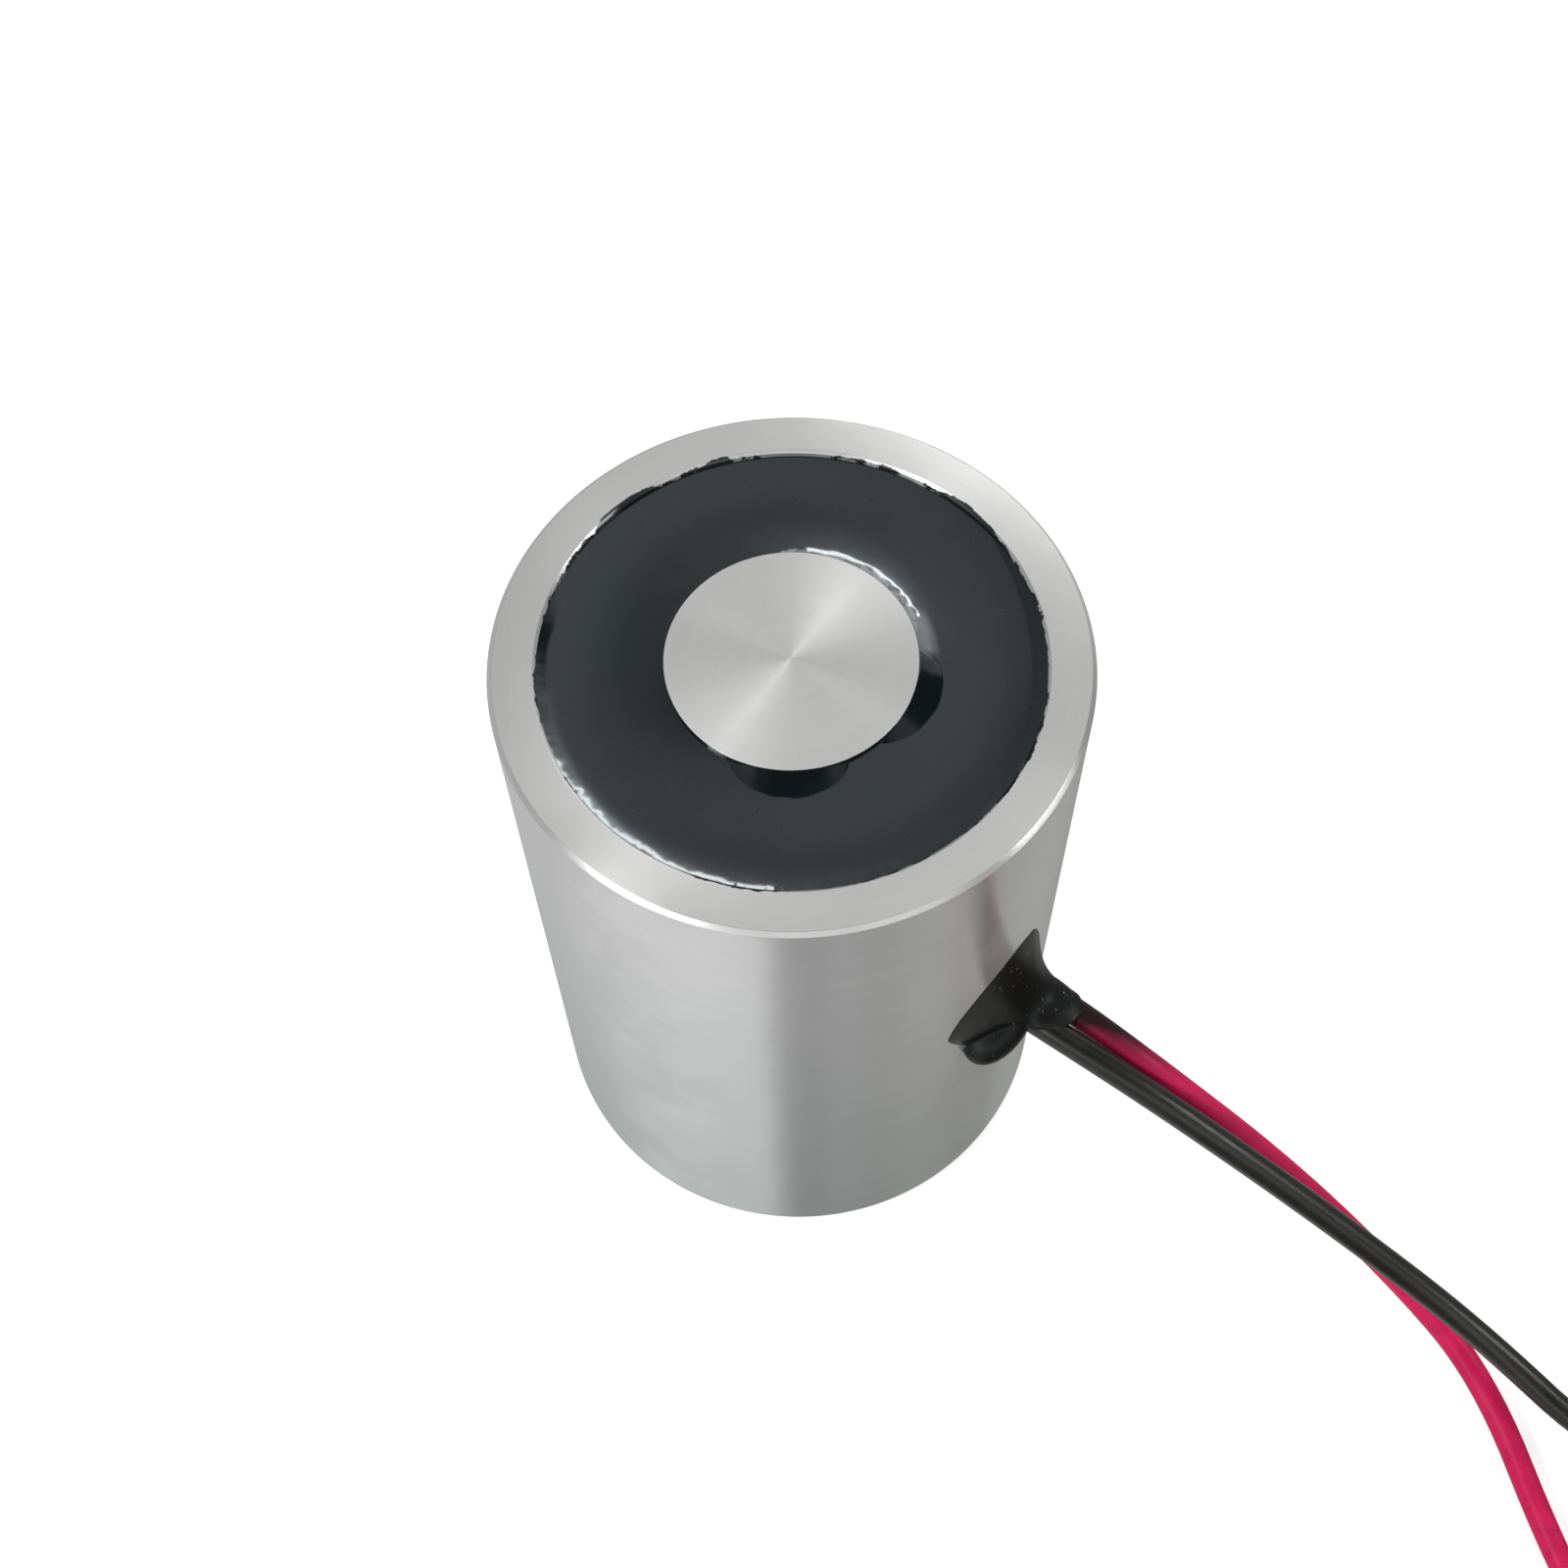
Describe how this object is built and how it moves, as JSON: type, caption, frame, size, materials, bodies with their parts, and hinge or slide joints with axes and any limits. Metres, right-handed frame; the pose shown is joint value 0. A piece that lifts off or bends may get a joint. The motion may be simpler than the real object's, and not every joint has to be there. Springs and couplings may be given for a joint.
{
  "type": "holding electromagnet",
  "caption": "Round pot electromagnet with a flat ringed holding face, a tapped hole in the back and two flying leads from the side.",
  "frame": {"origin": "centre of the pot's underside, around the tapped hole", "axes": "+Z out of the holding face, +X the way the leads leave the side of the pot"},
  "size_m": [0.0836, 0.025, 0.035],
  "materials": {
    "pot_steel": "fine turned, satin",
    "core_steel": "faced, satin with turning marks",
    "nylon": "moulded, natural",
    "copper": "enamelled wire",
    "tape": "polyester tape",
    "casting_resin": "glossy cast",
    "exit_resin": "glossy cast",
    "red_pvc": "semi gloss",
    "black_pvc": "semi gloss",
    "tinned_copper": "dipped tin",
    "solder": "bright",
    "sleeving": "woven sleeving"
  },
  "bodies": {
    "root": {"black_conductor_inner": "tinned_copper", "black_conductor_tip": "tinned_copper", "black_lead": "black_pvc", "black_lead_coil": "black_pvc", "black_solder_joint": "solder", "black_splice_sleeve": "sleeving", "bobbin": "nylon", "core": "core_steel", "lead_exit_seal": "exit_resin", "potting": "casting_resin", "red_conductor_inner": "tinned_copper", "red_conductor_tip": "tinned_copper", "red_lead": "red_pvc", "red_lead_coil": "red_pvc", "red_solder_joint": "solder", "red_splice_sleeve": "sleeving", "shell": "pot_steel", "start_wire_sleeve": "sleeving", "winding": "copper", "winding_tape": "tape"}
  },
  "joints": []
}
